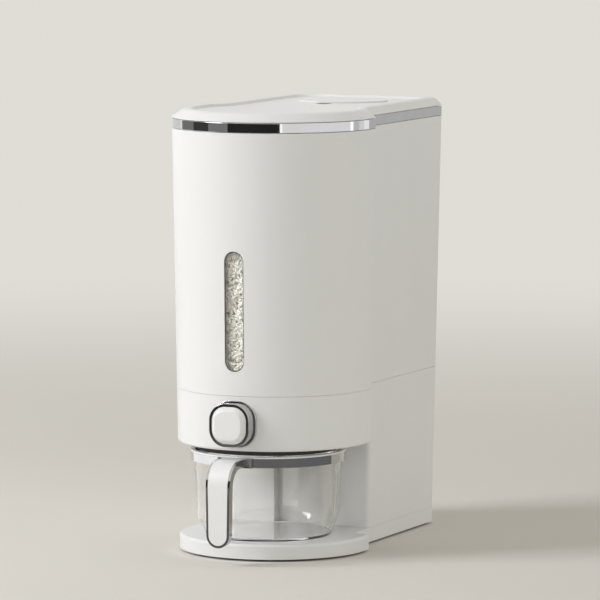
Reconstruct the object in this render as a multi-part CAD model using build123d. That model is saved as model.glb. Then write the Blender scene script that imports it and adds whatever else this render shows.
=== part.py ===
from build123d import *
import os
from math import atan2, cos, pi, radians, sin, tan

# Plan of the body at the underside of its base
front_radius = 83.65
flank_length = 19.8
flank_corner_radius = 6.0
least_corner_radius = 1.0
rear_half_width = 67.3
rear_reach = 203.6
rear_corner_radius = 3.0
draft_degrees = 0.95

# Levels above the underside of the base
tray_height = 13.0
housing_floor_level = 94.2
seam_level = 142.3
band_level = 370.7
band_height = 8.8

# Fits and gaps
seam_gap = 0.4
body_seam_gap = 0.2
slip_gap = 0.3
pin_gap = 0.05
press_gap = 0.02
seat_gap = 0.1
fuse_lap = 1.4
pick_tolerance = 0.05
overrun = 5.0

# Base
foot_height = 2.0
foot_radius = 8.0
foot_inset = 20.0
foot_chamfer = 0.5
base_wall = 2.6
base_cover_thickness = 2.4
tray_edge_radius = 2.5
column_lip_height = 6.0
column_lip_thickness = 2.2
screw_shank_radius = 1.5
screw_head_radius = 3.0
screw_head_height = 1.4
screw_boss_radius = 4.2
base_screw_inset = 14.0
base_screw_front_share = 0.62

# Lower housing
housing_wall = 2.8
housing_floor = 2.8
housing_edge_radius = 2.6
niche_reach = 52.7
column_corner_radius = 4.0
channel_half_width = 24.0
channel_depth = 10.0
lip_height = 3.6
lip_depth = 9.0
lip_thickness = 2.0

# Upper shell and its bright band
shell_wall = 3.0
rim_depth = 20.0
rim_inset = 6.0
rim_drop = 0.2
band_thickness = 2.0
band_edge_radius = 0.5

# Window
window_half_width = 9.1
window_low_level = 163.5
window_high_level = 268.2
window_recess = 1.0
window_gasket_width = 0.8
window_flange_width = 3.6
window_flange_thickness = 2.0

# Hopper and outlet
hopper_wall = 3.0
hopper_slope_degrees = 24.0
hopper_trough_level = 136.6
hopper_trough_margin = 4.0
hopper_skirt_height = 11.0
hopper_skirt_thickness = 2.5
neck_wall = 4.0
neck_level = 122.0
slot_count = 2
slot_pitch = 20.0
slot_width = 8.6
slot_length = 40.0
seal_thickness = 1.2

# Shutter and chute
shutter_thickness = 3.0
shutter_half_width = 25.0
shutter_lap = 3.0
chute_wall = 2.4
chute_half_width = 22.0
chute_margin = 2.7
chute_flange_thickness = 2.6
chute_flange_margin = 6.0
rail_thickness = 3.0

# Button and push stem
button_level = 118.0
button_width = 37.6
button_height = 37.8
button_corner_radius = 15.2
button_protrusion = 12.6
button_travel = 10.0
button_wall = 2.5
button_crown = 3.4
button_cap_chamfer = 3.8
button_cap_radius = 1.6
button_cap_depth = 4.6
button_edge_radius = 0.4
button_guide_depth = 6.0
collar_width = 1.2
collar_proud = 0.7
collar_edge_radius = 0.4
stem_radius = 5.0
stem_plate_thickness = 2.5
stem_flange_radius = 10.0
stem_flange_thickness = 2.5
stem_flange_setback = 15.0
stem_block_setback = 27.65
stem_block_depth = 6.0
stem_block_half_width = 12.0
stem_block_height = 8.5
bracket_thickness = 3.0
bracket_half_width = 15.0
bracket_foot_depth = 8.0
bracket_crown_height = 9.0
bracket_screw_offset = 10.5
spring_radius = 7.4
spring_wire_radius = 0.7
spring_turns = 6

# Lid
lid_height = 7.8
lid_lip_height = 0.8
lid_bevel_inset = 4.6
lid_crest_width = 5.0
lid_crest_drop = 1.3
lid_crest_steps = 4
lid_rim_width = 2.4
crest_front_inset = 4.5
crest_blend_start = 9.0
crest_blend_length = 44.0
dish_depth = 2.4
dish_wall_width = 2.6
dish_wall_steps = 5
dish_corner_radius = 18.0
liner_depth = 7.5
liner_wall = 3.0
gasket_width = 2.4
gasket_height = 4.0
gasket_drop = 1.6

# Lid hinge
hinge_axis_offset = 3.8
hinge_ear_gap = 0.6
hinge_axis_rise = 0.6
hinge_barrel_radius = 3.2
hinge_pin_radius = 1.5
hinge_spacing = 84.0
hinge_knuckle_length = 14.0
hinge_ear_thickness = 5.0
hinge_ear_foot = 14.0
hinge_ear_foot_drop = 2.0
hinge_arm_reach = 5.0
hinge_arm_height = 3.2

# Hatch over the desiccant
hatch_half_width = 43.0
hatch_length = 44.0
hatch_rear_inset = 51.35
hatch_thickness = 2.4
hatch_rise = 1.2
hatch_rise_setback = 4.0
hatch_gap = 0.35
hatch_pin_radius = 0.7
hatch_pin_overlap = 3.0
notch_width = 14.0
notch_depth = 3.2
notch_reach = 15.0
notch_corner_radius = 6.5
notch_undercut = 8.0
desiccant_half_width = 17.6
desiccant_length = 30.0
desiccant_depth = 18.0
desiccant_wall = 1.6
desiccant_flange_width = 3.0
desiccant_flange_thickness = 1.5
desiccant_vent_width = 2.4
desiccant_vent_count = 6
desiccant_vent_margin = 5.0
cartridge_height = 13.0
cartridge_edge_radius = 2.0
cartridge_hole_radius = 1.5
cartridge_columns = 4
cartridge_rows = 4

# Cup
cup_reach = -14.4
cup_rim_radius = 68.5
cup_rim_level = 89.2
cup_base_radius = 61.2
cup_foot_inset = 6.5
cup_foot_round = 1.6
cup_belly_height = 13.4
cup_belly_round = 38.0
cup_wall = 1.8
cup_floor = 2.6
cup_rim_round = 0.7
collar_ring_height = 9.4
collar_ring_thickness = 2.4
collar_ring_cap = 1.4
skirt_radius = 63.5
skirt_wall = 1.6
skirt_flange_width = 6.0
skirt_flange_thickness = 1.4
skirt_clearance = 0.8
handle_reach = 121.8
handle_half_width = 11.75
handle_tip_half_width = 10.6
handle_root_overlap = 5.2
handle_pad_half_width = 15.5
handle_pad_thickness = 2.6
handle_thickness = 7.0
handle_bend_radius = 22.0
handle_tip_level = 14.2
handle_arm_drop = 0.8
insert_border = 2.0
insert_depth = 2.2
insert_proud = 0.4

# Places worked out from the sizes above
lean = tan(radians(draft_degrees))
half_seam = body_seam_gap / 2
rear_width = 2 * rear_half_width
outside_front = -handle_reach - overrun
band_top_level = band_level + band_height
lid_level = band_top_level + seam_gap
lid_top_level = lid_level + lid_height
dish_level = lid_top_level - dish_depth
rear_extent = rear_reach + lean * lid_level + hinge_axis_offset + hinge_barrel_radius
plan_y = (handle_reach - rear_extent) / 2
outlet_reach = cup_reach
cup_foot_radius = cup_base_radius - cup_foot_inset
seal_level = neck_level - seal_thickness
shutter_level = seal_level - slip_gap - shutter_thickness
chute_top_level = shutter_level - slip_gap
front_reach = front_radius + lean * button_level
button_front = -front_reach - button_protrusion
stem_block_reach = front_radius - stem_block_setback
slots_half_span = (slot_pitch * (slot_count - 1) + slot_width) / 2
bracket_rear = -stem_block_reach - slip_gap
hinge_axis_y = plan_y + rear_reach + lean * lid_level + hinge_axis_offset
hinge_axis_level = lid_level + hinge_axis_rise
hatch_axis_reach = rear_reach + lean * lid_level - hatch_rear_inset
hatch_axis_level = dish_level - hatch_thickness / 2


def level_z(level):
    """Height of a level above the table."""
    return foot_height + level


def corner(centre_x, centre_y, radius, quarter):
    """Quarter-round corner, as an arc through its middle, for one of the four quarters."""
    angles = [quarter * pi / 2 + turn * pi / 4 for turn in range(3)]
    points = [(centre_x + radius * cos(a), centre_y + radius * sin(a)) for a in angles]
    return ThreePointArc(*points)


def plan(level, inset=0.0):
    """Outline of the body at a level, drawn in by an inset."""
    grow = lean * level - inset
    nose = front_radius + grow
    flank_end = plan_y + flank_length - inset
    half = rear_half_width + grow
    rear = plan_y + rear_reach + grow
    flank_corner = max(flank_corner_radius - inset, least_corner_radius)
    rear_corner = max(rear_corner_radius - inset, least_corner_radius)
    edges = [
        ThreePointArc((-nose, plan_y), (0, plan_y - nose), (nose, plan_y)),
        Line((nose, plan_y), (nose, flank_end - flank_corner)),
        corner(nose - flank_corner, flank_end - flank_corner, flank_corner, 0),
        Line((nose - flank_corner, flank_end), (half, flank_end)),
        Line((half, flank_end), (half, rear - rear_corner)),
        corner(half - rear_corner, rear - rear_corner, rear_corner, 0),
        Line((half - rear_corner, rear), (rear_corner - half, rear)),
        corner(rear_corner - half, rear - rear_corner, rear_corner, 1),
        Line((-half, rear - rear_corner), (-half, flank_end)),
        Line((-half, flank_end), (flank_corner - nose, flank_end)),
        corner(flank_corner - nose, flank_end - flank_corner, flank_corner, 1),
        Line((-nose, flank_end - flank_corner), (-nose, plan_y)),
    ]
    return Pos(0, 0, level_z(level)) * make_face(edges)


def crest_plan(level, inset, rear_corner=rear_corner_radius):
    """Outline of the lid's crest and dish: as the body's plan, but swept in with an easy double bend."""
    grow = lean * level - inset
    nose = front_radius + grow - crest_front_inset
    half = rear_half_width + grow
    rear = plan_y + rear_reach + grow
    blend_start = plan_y + crest_blend_start
    blend_end = blend_start + crest_blend_length
    turn = 2 * atan2(nose - half, crest_blend_length)
    bend = crest_blend_length / (2 * sin(turn))
    angles = [0, turn / 2, turn]
    outward = [(nose - bend + bend * cos(a), blend_start + bend * sin(a)) for a in angles]
    inward = [(half + bend - bend * cos(a), blend_end - bend * sin(a)) for a in reversed(angles)]
    corner_x = half - rear_corner
    corner_y = rear - rear_corner
    edges = [
        ThreePointArc((-nose, plan_y), (0, plan_y - nose), (nose, plan_y)),
        Line((nose, plan_y), (nose, blend_start)),
        ThreePointArc(*outward),
        ThreePointArc(*inward),
        Line((half, blend_end), (half, corner_y)),
        corner(corner_x, corner_y, rear_corner, 0),
        Line((corner_x, rear), (-corner_x, rear)),
        corner(-corner_x, corner_y, rear_corner, 1),
        Line((-half, corner_y), (-half, blend_end)),
        ThreePointArc(*[(-x, y) for x, y in reversed(inward)]),
        ThreePointArc(*[(-x, y) for x, y in reversed(outward)]),
        Line((-nose, blend_start), (-nose, plan_y)),
    ]
    return Pos(0, 0, level_z(level)) * make_face(edges)


def column_plan(level, inset=0.0):
    """Outline of the rear column behind the cup bay at a level, drawn in by an inset."""
    grow = lean * level - inset
    half = rear_half_width + grow
    front = plan_y + niche_reach + inset
    rear = plan_y + rear_reach + grow
    front_corner = max(column_corner_radius - inset, least_corner_radius)
    rear_corner = max(rear_corner_radius - inset, least_corner_radius)
    edges = [
        Line((front_corner - half, front), (half - front_corner, front)),
        corner(half - front_corner, front + front_corner, front_corner, 3),
        Line((half, front + front_corner), (half, rear - rear_corner)),
        corner(half - rear_corner, rear - rear_corner, rear_corner, 0),
        Line((half - rear_corner, rear), (rear_corner - half, rear)),
        corner(rear_corner - half, rear - rear_corner, rear_corner, 1),
        Line((-half, rear - rear_corner), (-half, front + front_corner)),
        corner(front_corner - half, front + front_corner, front_corner, 2),
    ]
    return Pos(0, 0, level_z(level)) * make_face(edges)


def leaning(outline, low, high, inset=0.0):
    """Solid with leaning sides between two levels of an outline."""
    return loft([outline(low, inset), outline(high, inset)], ruled=True)


def ring(outline, low, high, outer, inner):
    """Wall between two insets of an outline, from a low level to a high one."""
    hollow = leaning(outline, low - overrun, high + overrun, inner)
    return leaning(outline, low, high, outer) - hollow


def block(half_width, front, back, low, high):
    """Box across the middle; front and back are measured from the centre of the half-round."""
    box = Box(2 * half_width, back - front, high - low, align=(Align.CENTER, Align.MIN, Align.MIN))
    return Pos(0, plan_y + front, level_z(low)) * box


def upright(sketch, front, back):
    """Prism of a sketch seen from the front, between two distances from the half-round's centre."""
    return extrude(Plane.XZ.offset(-plan_y - back) * sketch, amount=back - front)


def rod_y(radius, front, back, level, x=0.0):
    """Round bar lying front to back."""
    return upright(Pos(x, level_z(level)) * Circle(radius), front, back)


def rod_x(radius, length, y, level, x=0.0):
    """Round bar lying across."""
    bar = Cylinder(radius, length, rotation=(0, 90, 0))
    return Pos(x, y, level_z(level)) * bar


def post(radius, x, y, low, high):
    """Round bar standing up."""
    bar = Cylinder(radius, high - low, align=(Align.CENTER, Align.CENTER, Align.MIN))
    return Pos(x, y, level_z(low)) * bar


def edges_at(solid, level, behind=None):
    """Edges lying flat at a level, and in front of a distance if one is given."""
    flat = [e for e in solid.edges() if abs(e.bounding_box().size.Z) < pick_tolerance]
    flat = [e for e in flat if abs(e.center().Z - level_z(level)) < pick_tolerance]
    if behind is None:
        return flat
    return [e for e in flat if e.bounding_box().max.Y < plan_y + behind]


def save(name, *solids):
    """Write one node of one or more separate solids."""
    shape = solids[0] if len(solids) == 1 else Compound(children=list(solids))
    shape.label = name
    export_step(shape, f"parts/{name}.step")


# Base tray, its cover, feet and screws
def base_screw_places():
    """Places of the screws that hold the cover to the base."""
    side = rear_half_width - base_screw_inset
    front = -front_radius * base_screw_front_share
    rear = rear_reach - base_screw_inset
    middle = niche_reach + base_screw_inset
    return [(x, plan_y + y) for y in (front, middle, rear) for x in (-side, side)]


def foot_places():
    """Places of the feet under the base."""
    side = rear_half_width - foot_inset
    rear = rear_reach - foot_inset
    nose = foot_inset - front_radius
    return [(0, plan_y + nose)] + [(x, plan_y + y) for y in (0, rear) for x in (-side, side)]


def base_tray():
    """Tray under the cup, with the lip that the column stands round."""
    slab = leaning(plan, 0, tray_height)
    rounded = edges_at(slab, tray_height, niche_reach)
    solid = fillet(rounded, tray_edge_radius)
    solid -= leaning(plan, -overrun, tray_height - base_wall, base_wall)
    lip_outer = housing_wall + slip_gap
    lip_inner = lip_outer + column_lip_thickness
    lip = ring(column_plan, tray_height - fuse_lap, tray_height + column_lip_height, lip_outer, lip_inner)
    lip -= block(channel_half_width + lip_outer, niche_reach, niche_reach + channel_depth + lip_outer,
                 tray_height, tray_height + column_lip_height + overrun)
    solid += lip
    for x, y in base_screw_places():
        boss = post(screw_boss_radius, x, y, base_cover_thickness, tray_height - base_wall + fuse_lap)
        bore = post(screw_shank_radius + pin_gap, x, y, 0, tray_height - base_wall)
        solid = solid + boss - bore
    return solid


def base_cover():
    """Plate that closes the base from below."""
    solid = leaning(plan, 0, base_cover_thickness, base_wall + slip_gap)
    for x, y in base_screw_places():
        solid -= post(screw_shank_radius + pin_gap, x, y, -overrun, base_cover_thickness + overrun)
        solid -= post(screw_head_radius + seat_gap, x, y, -overrun, screw_head_height)
    return solid


def base_screws():
    """Screws through the cover into the bosses of the tray."""
    high = tray_height - base_wall - slip_gap
    screws = []
    for x, y in base_screw_places():
        head = post(screw_head_radius, x, y, 0, screw_head_height)
        screws.append(head + post(screw_shank_radius, x, y, 0, high))
    return screws


def feet():
    """Rubber pads under the base."""
    pads = [post(foot_radius, x, y, -foot_height, 0) for x, y in foot_places()]
    return [chamfer(pad.edges().group_by(Axis.Z)[0], foot_chamfer) for pad in pads]


# Lower housing: the overhang with the button, and the column behind the cup bay
def button_outline(margin):
    """Rounded square of the button, grown by a margin."""
    width = button_width + 2 * margin
    height = button_height + 2 * margin
    return Pos(0, level_z(button_level)) * RectangleRounded(width, height, button_corner_radius + margin)


def chute_front():
    """Front of the chute's inside."""
    return outlet_reach - slots_half_span - chute_margin


def chute_back():
    """Back of the chute's inside."""
    return outlet_reach + slots_half_span + chute_margin


def lower_housing():
    """Hollow housing, open at its top and under its column."""
    top = seam_level - half_seam
    overhang = leaning(plan, housing_floor_level, top)
    overhang = fillet(edges_at(overhang, housing_floor_level, niche_reach), housing_edge_radius)
    column_low = tray_height + seat_gap
    column = leaning(column_plan, column_low, housing_floor_level + overrun)
    room_low = housing_floor_level + housing_floor
    room = leaning(plan, room_low, top + overrun, housing_wall)
    shaft = leaning(column_plan, column_low - overrun, room_low + overrun, housing_wall)
    solid = overhang + column - room - shaft
    channel_back = niche_reach + channel_depth
    wall_half = channel_half_width + housing_wall
    wall = block(wall_half, niche_reach, channel_back + housing_wall, column_low, room_low)
    channel = block(channel_half_width, niche_reach - overrun, channel_back, 0, housing_floor_level)
    solid = solid + wall - channel
    lip_inner = shell_wall + slip_gap + lip_thickness
    solid += ring(plan, top - lip_depth, top, housing_wall - fuse_lap, lip_inner)
    solid += ring(plan, top - lip_thickness, seam_level + lip_height, shell_wall + slip_gap, lip_inner)
    solid -= upright(button_outline(slip_gap), outside_front, 0)
    chute_half = chute_half_width + chute_wall + slip_gap
    margin = chute_wall + slip_gap
    solid -= block(chute_half, chute_front() - margin, chute_back() + margin,
                   housing_floor_level - overrun, room_low + overrun)
    return solid


# Upper shell with hinge ears
def hinge_ear(x):
    """One ear on the back of the shell that holds an end of a hinge pin."""
    low = band_level - hinge_ear_foot_drop - hinge_ear_foot
    foot_high = band_level - hinge_ear_foot_drop
    rear = rear_reach + lean * foot_high
    back = rear_reach + lean * lid_level + hinge_axis_offset + hinge_barrel_radius
    foot = block(hinge_ear_thickness / 2, rear - fuse_lap, back, low, foot_high)
    clear = rear_reach + lean * lid_level + hinge_ear_gap
    stalk = block(hinge_ear_thickness / 2, clear, back, low, hinge_axis_level)
    eye = rod_x(hinge_barrel_radius, hinge_ear_thickness, hinge_axis_y, hinge_axis_level)
    return Pos(x, 0, 0) * (foot + stalk + eye)


def hinge_ear_places():
    """Places across the back of the four ears."""
    step = (hinge_knuckle_length + hinge_ear_thickness) / 2 + slip_gap
    return [side * hinge_spacing / 2 + turn * step for side in (-1, 1) for turn in (-1, 1)]


def upper_shell():
    """Outer wall of the bin, with the rim that the lid closes on."""
    low = seam_level + half_seam
    high = band_level - half_seam
    solid = ring(plan, low, high, 0, shell_wall)
    rim_low = band_top_level - rim_depth
    solid += ring(plan, rim_low, band_top_level - rim_drop, band_thickness + seat_gap, rim_inset)
    for x in hinge_ear_places():
        solid += hinge_ear(x)
    solid -= rod_x(hinge_pin_radius + press_gap, rear_width, hinge_axis_y, hinge_axis_level)
    solid -= upright(window_outline(0), outside_front, 0)
    return solid


def chrome_band():
    """Bright band round the rim, below the lid."""
    low = band_level + half_seam
    solid = leaning(plan, low, band_top_level)
    solid = fillet(edges_at(solid, low) + edges_at(solid, band_top_level), band_edge_radius)
    return solid - leaning(plan, low - overrun, band_top_level + overrun, band_thickness)


def hinge_pins():
    """Steel pins of the lid's hinges."""
    length = hinge_knuckle_length + 2 * (hinge_ear_thickness + slip_gap)
    places = (-hinge_spacing / 2, hinge_spacing / 2)
    return [rod_x(hinge_pin_radius, length, hinge_axis_y, hinge_axis_level, x) for x in places]


# Window in the front of the shell
def window_outline(margin):
    """Upright slot of the window, grown by a margin."""
    height = window_high_level - window_low_level + 2 * margin
    width = 2 * (window_half_width + margin)
    middle = (window_high_level + window_low_level) / 2
    return Pos(0, level_z(middle)) * Rot(0, 0, 90) * SlotOverall(height, width)


def window_skin(margin, outer, inner):
    """Piece of the wall's curve under a window outline, between two insets."""
    low = window_low_level - window_flange_width - overrun
    high = window_high_level + window_flange_width + overrun
    return upright(window_outline(margin), outside_front, 0) & ring(plan, low, high, outer, inner)


def window_pane():
    """Clear pane: a plug in the slot and a flange behind the wall."""
    plug_margin = -seat_gap - window_gasket_width
    flange_front = shell_wall + seat_gap
    flange_back = flange_front + window_flange_thickness
    plug = window_skin(plug_margin, window_recess, flange_back)
    return plug + window_skin(window_flange_width, flange_front, flange_back)


def window_gasket():
    """Dark seal between the pane and the edge of its slot."""
    hole = upright(window_outline(-window_gasket_width), outside_front, 0)
    return window_skin(-seat_gap / 2, window_recess, shell_wall) - hole


# Hopper with its sloping floor and slotted neck
def hopper_fill():
    """Everything below the sloping floor, down to the neck."""
    slope = tan(radians(hopper_slope_degrees))
    half_trough = slots_half_span + hopper_trough_margin
    trough_front = outlet_reach - half_trough
    trough_back = outlet_reach + half_trough
    front = -front_radius - overrun
    back = rear_reach + overrun
    outline = [
        (plan_y + front, level_z(neck_level)),
        (plan_y + front, level_z(hopper_trough_level + (trough_front - front) * slope)),
        (plan_y + trough_front, level_z(hopper_trough_level)),
        (plan_y + trough_back, level_z(hopper_trough_level)),
        (plan_y + back, level_z(hopper_trough_level + (back - trough_back) * slope)),
        (plan_y + back, level_z(neck_level)),
    ]
    width = front_radius + overrun
    fill = extrude(Plane.YZ * make_face(Polyline(*outline, close=True)), amount=width, both=True)
    start = slot_length / 2 + hopper_trough_margin
    side = [
        (start, level_z(neck_level)),
        (start, level_z(hopper_trough_level)),
        (width, level_z(hopper_trough_level + (width - start) * slope)),
        (width, level_z(neck_level)),
    ]
    wedge = upright(make_face(Polyline(*side, close=True)), front, back)
    return fill + wedge + mirror(wedge, about=Plane.YZ)


def slot_reaches():
    """Distances of the outlet slots from the half-round's centre."""
    first = outlet_reach - slot_pitch * (slot_count - 1) / 2
    return [first + slot_pitch * index for index in range(slot_count)]


def slots(shift, low, high):
    """Bars that cut the outlet slots, shifted front to back."""
    half = slot_width / 2
    cuts = [block(slot_length / 2, r + shift - half, r + shift + half, low, high) for r in slot_reaches()]
    return cuts[0] + cuts[1:]


def hopper():
    """Sloping floor of the bin with its neck, standing on the lip of the lower housing."""
    fill = hopper_fill()
    skin = fill - Pos(0, 0, -hopper_wall) * fill
    wall_inset = shell_wall + slip_gap
    slope = tan(radians(hopper_slope_degrees))
    high = hopper_trough_level + (rear_reach + front_radius) * slope
    solid = skin & leaning(plan, neck_level - overrun, high, wall_inset)
    skirt_low = seam_level + lip_height
    skirt_high = skirt_low + hopper_skirt_height
    solid += ring(plan, skirt_low, skirt_high, wall_inset, wall_inset + hopper_skirt_thickness)
    neck_front = outlet_reach - slots_half_span - neck_wall
    neck_back = outlet_reach + slots_half_span + neck_wall
    neck_top = hopper_trough_level - hopper_wall + fuse_lap
    solid += block(slot_length / 2 + neck_wall, neck_front, neck_back, neck_level, neck_top)
    return solid - slots(0, neck_level - overrun, hopper_trough_level + overrun)


def outlet_seal():
    """Soft plate under the neck that the shutter wipes."""
    front = outlet_reach - slots_half_span - neck_wall
    back = outlet_reach + slots_half_span + neck_wall
    plate = block(slot_length / 2 + neck_wall, front, back, seal_level, neck_level)
    return plate - slots(0, seal_level - overrun, neck_level + overrun)


# Shutter and the chute it slides on
def shutter_plate():
    """Slotted plate that the stem pushes back until its slots meet the outlet's."""
    front = -stem_block_reach
    back = outlet_reach + slots_half_span + shutter_lap
    high = shutter_level + shutter_thickness
    plate = block(shutter_half_width, front, back, shutter_level, high)
    plate -= slots(-button_travel, shutter_level - overrun, high + overrun)
    block_high = shutter_level + stem_block_height
    return plate + block(stem_block_half_width, front, front + stem_block_depth, shutter_level, block_high)


def outlet_chute():
    """Square spout through the housing's floor, with the rails of the shutter."""
    front = chute_front()
    back = chute_back()
    rail_inner = shutter_half_width + slip_gap
    half = rail_inner + rail_thickness
    flange_low = chute_top_level - chute_flange_thickness
    flange_front = front - chute_flange_margin
    flange_back = back + button_travel + chute_flange_margin
    flange = block(half, flange_front, flange_back, flange_low, chute_top_level)
    spout = block(chute_half_width + chute_wall, front - chute_wall, back + chute_wall,
                  housing_floor_level, chute_top_level)
    foot_low = housing_floor_level + housing_floor
    foot_margin = chute_wall + rail_thickness
    foot = block(chute_half_width + foot_margin, front - foot_margin, back + foot_margin,
                 foot_low, foot_low + chute_wall)
    rails = block(half, flange_front, flange_back, chute_top_level, seal_level)
    rails -= block(rail_inner, flange_front - overrun, flange_back + overrun,
                   chute_top_level - overrun, seal_level + overrun)
    bore = block(chute_half_width, front, back, housing_floor_level - overrun, seal_level + overrun)
    return flange + spout + foot + rails - bore


# Button, stem, bracket and spring
def button_collar():
    """Bright bezel round the button's hole, seated on the curved wall."""
    proud = -front_reach - collar_proud
    solid = upright(button_outline(slip_gap + collar_width), proud, 0)
    solid = fillet(solid.faces().sort_by(Axis.Y)[0].edges(), collar_edge_radius)
    solid -= upright(button_outline(slip_gap), outside_front, 0)
    return solid - leaning(plan, housing_floor_level, seam_level)


def button_sleeve():
    """Bright sleeve round the white cap."""
    back = button_front + button_protrusion + button_guide_depth
    solid = upright(button_outline(0), button_front, back)
    solid = fillet(solid.faces().sort_by(Axis.Y)[0].edges(), button_edge_radius)
    return solid - upright(button_outline(-button_wall), outside_front, 0)


def button_cap():
    """White face of the button."""
    front = button_front - button_crown
    solid = upright(button_outline(-button_wall - seat_gap), front, button_front + button_cap_depth)
    solid = chamfer(solid.faces().sort_by(Axis.Y)[0].edges(), button_cap_chamfer)
    return fillet(solid.faces().sort_by(Axis.Y)[0].edges(), button_cap_radius)


def push_stem():
    """Bar from the button to the shutter, with the seat of the spring."""
    plate_front = button_front + button_cap_depth
    plate_back = plate_front + stem_plate_thickness
    solid = upright(button_outline(-button_wall - seat_gap), plate_front, plate_back)
    solid += rod_y(stem_radius, plate_front, -stem_block_reach, button_level)
    flange_front = button_front + stem_flange_setback
    flange_back = flange_front + stem_flange_thickness
    return solid + rod_y(stem_flange_radius, flange_front, flange_back, button_level)


def bracket_screw_places():
    """Places of the two screws in the foot of the stem's bracket."""
    y = plan_y + bracket_rear - bracket_thickness - bracket_foot_depth / 2
    return [(-bracket_screw_offset, y), (bracket_screw_offset, y)]


def stem_bracket():
    """Upright on the housing's floor that guides the stem and backs the spring."""
    low = housing_floor_level + housing_floor
    high = button_level + bracket_crown_height
    front = bracket_rear - bracket_thickness
    plate = block(bracket_half_width, front, bracket_rear, low, high)
    foot = block(bracket_half_width, front - bracket_foot_depth, front, low, low + bracket_thickness)
    solid = plate + foot
    for x, y in bracket_screw_places():
        solid -= post(screw_shank_radius + pin_gap, x, y, low - overrun, low + bracket_thickness + overrun)
    return solid - rod_y(stem_radius + pin_gap, outside_front, 0, button_level)


def bracket_screws():
    """Screws that hold the bracket to the floor."""
    low = housing_floor_level + housing_floor
    high = low + bracket_thickness
    screws = []
    for x, y in bracket_screw_places():
        head = post(screw_head_radius, x, y, high, high + screw_head_height)
        screws.append(head + post(screw_shank_radius, x, y, low, high))
    return screws


def return_spring():
    """Coil between the stem's flange and the bracket."""
    front = button_front + stem_flange_setback + stem_flange_thickness + seat_gap
    back = bracket_rear - bracket_thickness - seat_gap
    height = back - front - 2 * spring_wire_radius
    helix = Helix(height / spring_turns, height, spring_radius)
    profile = Plane(origin=helix @ 0, z_dir=helix % 0) * Circle(spring_wire_radius)
    coil = sweep(profile, path=helix)
    seat = Plane(origin=(0, plan_y + front + spring_wire_radius, level_z(button_level)), z_dir=(0, 1, 0))
    return seat * coil


# Lid with its liner and seal
def lid_body():
    """Lid from its lip over the bevel to the crest, before anything is cut into it."""
    sections = [plan(lid_level), plan(lid_level + lid_lip_height, lean * lid_lip_height)]
    for step in range(lid_crest_steps + 1):
        share = step / lid_crest_steps
        drop = lid_crest_drop * (1 - share) ** 2
        sections.append(crest_plan(lid_top_level - drop, lid_bevel_inset + lid_crest_width * share))
    return loft(sections, ruled=True)


def lid_dish():
    """Dish in the lid's top, from above its rim down to its floor."""
    rim = lid_bevel_inset + lid_crest_width + lid_rim_width
    sections = [crest_plan(lid_top_level + overrun, rim - dish_wall_width, dish_corner_radius)]
    for step in range(dish_wall_steps + 1):
        share = step / dish_wall_steps
        level = dish_level + dish_depth * (1 + cos(pi * share)) / 2
        sections.append(crest_plan(level, rim + dish_wall_width * share, dish_corner_radius))
    return loft(sections, ruled=True)


def hatch_outline(margin):
    """Tongue of the hatch seen from above, grown by a margin."""
    rear = plan_y + hatch_axis_reach
    half = hatch_half_width + margin
    reach = hatch_length + margin
    tongue = Pos(0, rear) * Ellipse(half, reach)
    return tongue & Pos(0, rear - reach / 2) * Rectangle(2 * half, reach)


def hatch_plate(margin, low, high):
    """Prism of the tongue between two levels."""
    return Pos(0, 0, level_z(low)) * extrude(hatch_outline(margin), amount=high - low)


def hatch_tip():
    """Front end of the hatch."""
    return hatch_axis_reach - hatch_length


def desiccant_front():
    """Front of the desiccant's tray."""
    return hatch_axis_reach - hatch_thickness - desiccant_wall - desiccant_length


def lid():
    """Bevelled lid with a dished top, the hatch's seat and the hinge knuckles."""
    solid = lid_body() - lid_dish()
    seat = dish_level - hatch_thickness - hatch_gap
    pocket = hatch_plate(hatch_gap, seat, dish_level + overrun)
    end_radius = hatch_thickness / 2 + hatch_gap
    width = 2 * (hatch_half_width + hatch_gap)
    rear_end = rod_x(end_radius, width, plan_y + hatch_axis_reach, hatch_axis_level)
    rear_top = block(width / 2, hatch_axis_reach - end_radius, hatch_axis_reach + end_radius,
                     hatch_axis_level, dish_level + overrun)
    solid = solid - pocket - rear_end - rear_top
    front = desiccant_front() + desiccant_wall
    opening = block(desiccant_half_width - desiccant_wall, front, front + desiccant_length
                    - 2 * desiccant_wall, lid_level - overrun, dish_level)
    solid -= opening
    notch = RectangleRounded(notch_width, 2 * notch_reach, notch_corner_radius)
    solid -= Pos(0, plan_y + hatch_tip(), level_z(dish_level - notch_depth)) * extrude(notch, amount=overrun)
    pin_length = width + 2 * hatch_pin_overlap
    solid -= rod_x(hatch_pin_radius + press_gap, pin_length, plan_y + hatch_axis_reach, hatch_axis_level)
    rear = rear_reach + lean * lid_level
    for x in (-hinge_spacing / 2, hinge_spacing / 2):
        arm = block(hinge_knuckle_length / 2, rear - hinge_arm_reach, rear + hinge_axis_offset,
                    lid_level, lid_level + hinge_arm_height)
        knuckle = rod_x(hinge_barrel_radius, hinge_knuckle_length, hinge_axis_y, hinge_axis_level)
        solid += Pos(x, 0, 0) * (arm + knuckle)
    return solid - rod_x(hinge_pin_radius + pin_gap, rear_width, hinge_axis_y, hinge_axis_level)


def liner_inset():
    """Inset of the liner's side, inside the seal."""
    return rim_inset + slip_gap + gasket_width + seat_gap


def lid_liner():
    """Plug under the lid that carries the seal."""
    low = lid_level - liner_depth
    solid = leaning(plan, low, lid_level, liner_inset())
    hollow_inset = liner_inset() + liner_wall
    solid -= leaning(plan, low - overrun, lid_level - liner_wall, hollow_inset)
    margin = desiccant_flange_width + slip_gap
    front = desiccant_front()
    solid -= block(desiccant_half_width + margin, front - margin, front + desiccant_length + margin,
                   low - overrun, lid_level + overrun)
    return solid


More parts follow.
